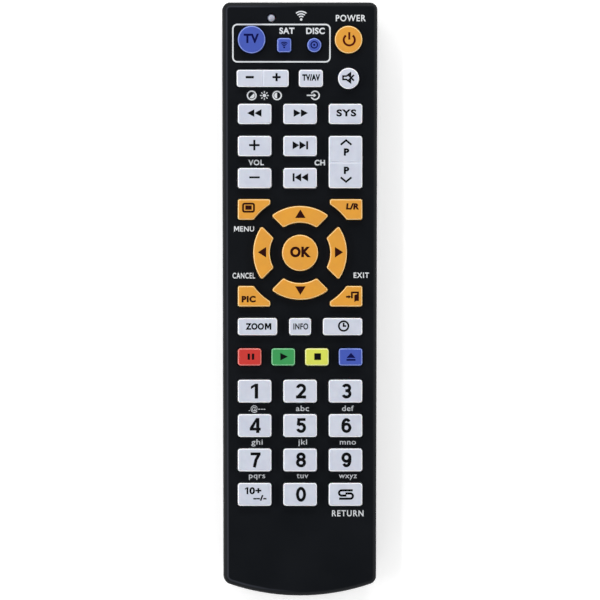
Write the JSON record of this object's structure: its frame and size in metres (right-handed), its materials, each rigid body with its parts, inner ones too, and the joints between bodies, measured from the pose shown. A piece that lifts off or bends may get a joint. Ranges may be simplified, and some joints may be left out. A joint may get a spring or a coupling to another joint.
{
  "type": "universal remote control",
  "caption": "Handheld infrared remote: slim black two-part case with bowed tail, silicone keys that press or rock, a navigation ring and a sliding battery door.",
  "frame": {"origin": "middle of the flat back, on the surface that it lies on", "axes": "+Z out of the key face, +Y towards the infrared window, +X to the right of the key face"},
  "size_m": [0.0532, 0.2036, 0.0222],
  "materials": {
    "case_plastic": "satin fine-textured moulded ABS",
    "window_plastic": "polished infrared-pass acrylic",
    "lamp_epoxy": "milky epoxy dome",
    "mat_silicone": "matt silicone sheet",
    "board_laminate": "solder-masked laminate",
    "emitter_epoxy": "tinted clear epoxy",
    "receiver_epoxy": "black epoxy",
    "chip_epoxy": "matt epoxy",
    "can_steel": "plated steel can",
    "capacitor_sleeve": "shrink sleeve",
    "nickel": "nickel-plated steel",
    "cell_jacket": "plain printed jacket",
    "screw_steel": "zinc-plated steel",
    "pale_keys": "satin-coated silicone",
    "blue_keys": "satin-coated silicone",
    "orange_keys": "satin-coated silicone",
    "red_keys": "satin-coated silicone",
    "green_keys": "satin-coated silicone",
    "yellow_keys": "satin-coated silicone"
  },
  "bodies": {
    "case": {"front_cover": "case_plastic", "rear_cover": "case_plastic", "infrared_window": "window_plastic", "indicator_lamp": "lamp_epoxy", "keypad_mat": "mat_silicone", "circuit_board": "board_laminate", "infrared_emitter": "emitter_epoxy", "infrared_receiver": "receiver_epoxy", "control_chip": "chip_epoxy", "resonator": "can_steel", "capacitor": "capacitor_sleeve", "battery_springs": "nickel", "battery_contacts": "nickel", "battery_cells": "cell_jacket", "case_screws": "screw_steel"},
    "battery_door": {"battery_door": "case_plastic"},
    "input_key": {"input_key": "pale_keys"},
    "mute_key": {"mute_key": "pale_keys"},
    "rewind_key": {"rewind_key": "pale_keys"},
    "fast_forward_key": {"fast_forward_key": "pale_keys"},
    "system_key": {"system_key": "pale_keys"},
    "volume_up_key": {"volume_up_key": "pale_keys"},
    "next_key": {"next_key": "pale_keys"},
    "volume_down_key": {"volume_down_key": "pale_keys"},
    "previous_key": {"previous_key": "pale_keys"},
    "zoom_key": {"zoom_key": "pale_keys"},
    "information_key": {"information_key": "pale_keys"},
    "clock_key": {"clock_key": "pale_keys"},
    "digit_1_key": {"digit_1_key": "pale_keys"},
    "digit_2_key": {"digit_2_key": "pale_keys"},
    "digit_3_key": {"digit_3_key": "pale_keys"},
    "digit_4_key": {"digit_4_key": "pale_keys"},
    "digit_5_key": {"digit_5_key": "pale_keys"},
    "digit_6_key": {"digit_6_key": "pale_keys"},
    "digit_7_key": {"digit_7_key": "pale_keys"},
    "digit_8_key": {"digit_8_key": "pale_keys"},
    "digit_9_key": {"digit_9_key": "pale_keys"},
    "ten_plus_key": {"ten_plus_key": "pale_keys"},
    "digit_0_key": {"digit_0_key": "pale_keys"},
    "return_key": {"return_key": "pale_keys"},
    "tv_key": {"tv_key": "blue_keys"},
    "satellite_key": {"satellite_key": "blue_keys"},
    "player_key": {"player_key": "blue_keys"},
    "blue_key": {"blue_key": "blue_keys"},
    "power_key": {"power_key": "orange_keys"},
    "menu_key": {"menu_key": "orange_keys"},
    "audio_key": {"audio_key": "orange_keys"},
    "picture_mode_key": {"picture_mode_key": "orange_keys"},
    "exit_key": {"exit_key": "orange_keys"},
    "up_key": {"up_key": "orange_keys"},
    "left_key": {"left_key": "orange_keys"},
    "down_key": {"down_key": "orange_keys"},
    "right_key": {"right_key": "orange_keys"},
    "ok_key": {"ok_key": "orange_keys"},
    "red_key": {"red_key": "red_keys"},
    "green_key": {"green_key": "green_keys"},
    "yellow_key": {"yellow_key": "yellow_keys"},
    "picture_rocker": {"picture_rocker": "pale_keys"},
    "channel_rocker": {"channel_rocker": "pale_keys"}
  },
  "joints": [
    {"name": "battery_door_slide", "type": "slide", "parent": "case", "child": "battery_door", "axis": [0, -1, 0], "range_m": [0, 0.078]},
    {"name": "input_key_press", "type": "slide", "parent": "case", "child": "input_key", "axis": [0, 0, -1], "range_m": [0, 0.001], "stiffness_N_per_m": 900},
    {"name": "mute_key_press", "type": "slide", "parent": "case", "child": "mute_key", "axis": [0, 0, -1], "range_m": [0, 0.001], "stiffness_N_per_m": 900},
    {"name": "rewind_key_press", "type": "slide", "parent": "case", "child": "rewind_key", "axis": [0, 0, -1], "range_m": [0, 0.001], "stiffness_N_per_m": 900},
    {"name": "fast_forward_key_press", "type": "slide", "parent": "case", "child": "fast_forward_key", "axis": [0, 0, -1], "range_m": [0, 0.001], "stiffness_N_per_m": 900},
    {"name": "system_key_press", "type": "slide", "parent": "case", "child": "system_key", "axis": [0, 0, -1], "range_m": [0, 0.001], "stiffness_N_per_m": 900},
    {"name": "volume_up_key_press", "type": "slide", "parent": "case", "child": "volume_up_key", "axis": [0, 0, -1], "range_m": [0, 0.001], "stiffness_N_per_m": 900},
    {"name": "next_key_press", "type": "slide", "parent": "case", "child": "next_key", "axis": [0, 0, -1], "range_m": [0, 0.001], "stiffness_N_per_m": 900},
    {"name": "volume_down_key_press", "type": "slide", "parent": "case", "child": "volume_down_key", "axis": [0, 0, -1], "range_m": [0, 0.001], "stiffness_N_per_m": 900},
    {"name": "previous_key_press", "type": "slide", "parent": "case", "child": "previous_key", "axis": [0, 0, -1], "range_m": [0, 0.001], "stiffness_N_per_m": 900},
    {"name": "zoom_key_press", "type": "slide", "parent": "case", "child": "zoom_key", "axis": [0, 0, -1], "range_m": [0, 0.001], "stiffness_N_per_m": 900},
    {"name": "information_key_press", "type": "slide", "parent": "case", "child": "information_key", "axis": [0, 0, -1], "range_m": [0, 0.001], "stiffness_N_per_m": 900},
    {"name": "clock_key_press", "type": "slide", "parent": "case", "child": "clock_key", "axis": [0, 0, -1], "range_m": [0, 0.001], "stiffness_N_per_m": 900},
    {"name": "digit_1_key_press", "type": "slide", "parent": "case", "child": "digit_1_key", "axis": [0, 0, -1], "range_m": [0, 0.001], "stiffness_N_per_m": 900},
    {"name": "digit_2_key_press", "type": "slide", "parent": "case", "child": "digit_2_key", "axis": [0, 0, -1], "range_m": [0, 0.001], "stiffness_N_per_m": 900},
    {"name": "digit_3_key_press", "type": "slide", "parent": "case", "child": "digit_3_key", "axis": [0, 0, -1], "range_m": [0, 0.001], "stiffness_N_per_m": 900},
    {"name": "digit_4_key_press", "type": "slide", "parent": "case", "child": "digit_4_key", "axis": [0, 0, -1], "range_m": [0, 0.001], "stiffness_N_per_m": 900},
    {"name": "digit_5_key_press", "type": "slide", "parent": "case", "child": "digit_5_key", "axis": [0, 0, -1], "range_m": [0, 0.001], "stiffness_N_per_m": 900},
    {"name": "digit_6_key_press", "type": "slide", "parent": "case", "child": "digit_6_key", "axis": [0, 0, -1], "range_m": [0, 0.001], "stiffness_N_per_m": 900},
    {"name": "digit_7_key_press", "type": "slide", "parent": "case", "child": "digit_7_key", "axis": [0, 0, -1], "range_m": [0, 0.001], "stiffness_N_per_m": 900},
    {"name": "digit_8_key_press", "type": "slide", "parent": "case", "child": "digit_8_key", "axis": [0, 0, -1], "range_m": [0, 0.001], "stiffness_N_per_m": 900},
    {"name": "digit_9_key_press", "type": "slide", "parent": "case", "child": "digit_9_key", "axis": [0, 0, -1], "range_m": [0, 0.001], "stiffness_N_per_m": 900},
    {"name": "ten_plus_key_press", "type": "slide", "parent": "case", "child": "ten_plus_key", "axis": [0, 0, -1], "range_m": [0, 0.001], "stiffness_N_per_m": 900},
    {"name": "digit_0_key_press", "type": "slide", "parent": "case", "child": "digit_0_key", "axis": [0, 0, -1], "range_m": [0, 0.001], "stiffness_N_per_m": 900},
    {"name": "return_key_press", "type": "slide", "parent": "case", "child": "return_key", "axis": [0, 0, -1], "range_m": [0, 0.001], "stiffness_N_per_m": 900},
    {"name": "tv_key_press", "type": "slide", "parent": "case", "child": "tv_key", "axis": [0, 0, -1], "range_m": [0, 0.001], "stiffness_N_per_m": 900},
    {"name": "satellite_key_press", "type": "slide", "parent": "case", "child": "satellite_key", "axis": [0, 0, -1], "range_m": [0, 0.001], "stiffness_N_per_m": 900},
    {"name": "player_key_press", "type": "slide", "parent": "case", "child": "player_key", "axis": [0, 0, -1], "range_m": [0, 0.001], "stiffness_N_per_m": 900},
    {"name": "blue_key_press", "type": "slide", "parent": "case", "child": "blue_key", "axis": [0, 0, -1], "range_m": [0, 0.001], "stiffness_N_per_m": 900},
    {"name": "power_key_press", "type": "slide", "parent": "case", "child": "power_key", "axis": [0, 0, -1], "range_m": [0, 0.001], "stiffness_N_per_m": 900},
    {"name": "menu_key_press", "type": "slide", "parent": "case", "child": "menu_key", "axis": [0, 0, -1], "range_m": [0, 0.001], "stiffness_N_per_m": 900},
    {"name": "audio_key_press", "type": "slide", "parent": "case", "child": "audio_key", "axis": [0, 0, -1], "range_m": [0, 0.001], "stiffness_N_per_m": 900},
    {"name": "picture_mode_key_press", "type": "slide", "parent": "case", "child": "picture_mode_key", "axis": [0, 0, -1], "range_m": [0, 0.001], "stiffness_N_per_m": 900},
    {"name": "exit_key_press", "type": "slide", "parent": "case", "child": "exit_key", "axis": [0, 0, -1], "range_m": [0, 0.001], "stiffness_N_per_m": 900},
    {"name": "up_key_press", "type": "slide", "parent": "case", "child": "up_key", "axis": [0, 0, -1], "range_m": [0, 0.001], "stiffness_N_per_m": 900},
    {"name": "left_key_press", "type": "slide", "parent": "case", "child": "left_key", "axis": [0, 0, -1], "range_m": [0, 0.001], "stiffness_N_per_m": 900},
    {"name": "down_key_press", "type": "slide", "parent": "case", "child": "down_key", "axis": [0, 0, -1], "range_m": [0, 0.001], "stiffness_N_per_m": 900},
    {"name": "right_key_press", "type": "slide", "parent": "case", "child": "right_key", "axis": [0, 0, -1], "range_m": [0, 0.001], "stiffness_N_per_m": 900},
    {"name": "ok_key_press", "type": "slide", "parent": "case", "child": "ok_key", "axis": [0, 0, -1], "range_m": [0, 0.001], "stiffness_N_per_m": 900},
    {"name": "red_key_press", "type": "slide", "parent": "case", "child": "red_key", "axis": [0, 0, -1], "range_m": [0, 0.001], "stiffness_N_per_m": 900},
    {"name": "green_key_press", "type": "slide", "parent": "case", "child": "green_key", "axis": [0, 0, -1], "range_m": [0, 0.001], "stiffness_N_per_m": 900},
    {"name": "yellow_key_press", "type": "slide", "parent": "case", "child": "yellow_key", "axis": [0, 0, -1], "range_m": [0, 0.001], "stiffness_N_per_m": 900},
    {"name": "picture_rocker_tip", "type": "hinge", "parent": "case", "child": "picture_rocker", "pos_m": [-0.01282, 0.07565, 0.01705], "axis": [0, 1, 0], "range_deg": [-4, 4], "stiffness_Nm_per_rad": 0.09},
    {"name": "channel_rocker_tip", "type": "hinge", "parent": "case", "child": "channel_rocker", "pos_m": [0.01558, 0.04695, 0.01705], "axis": [1, 0, 0], "range_deg": [-4, 4], "stiffness_Nm_per_rad": 0.09}
  ]
}
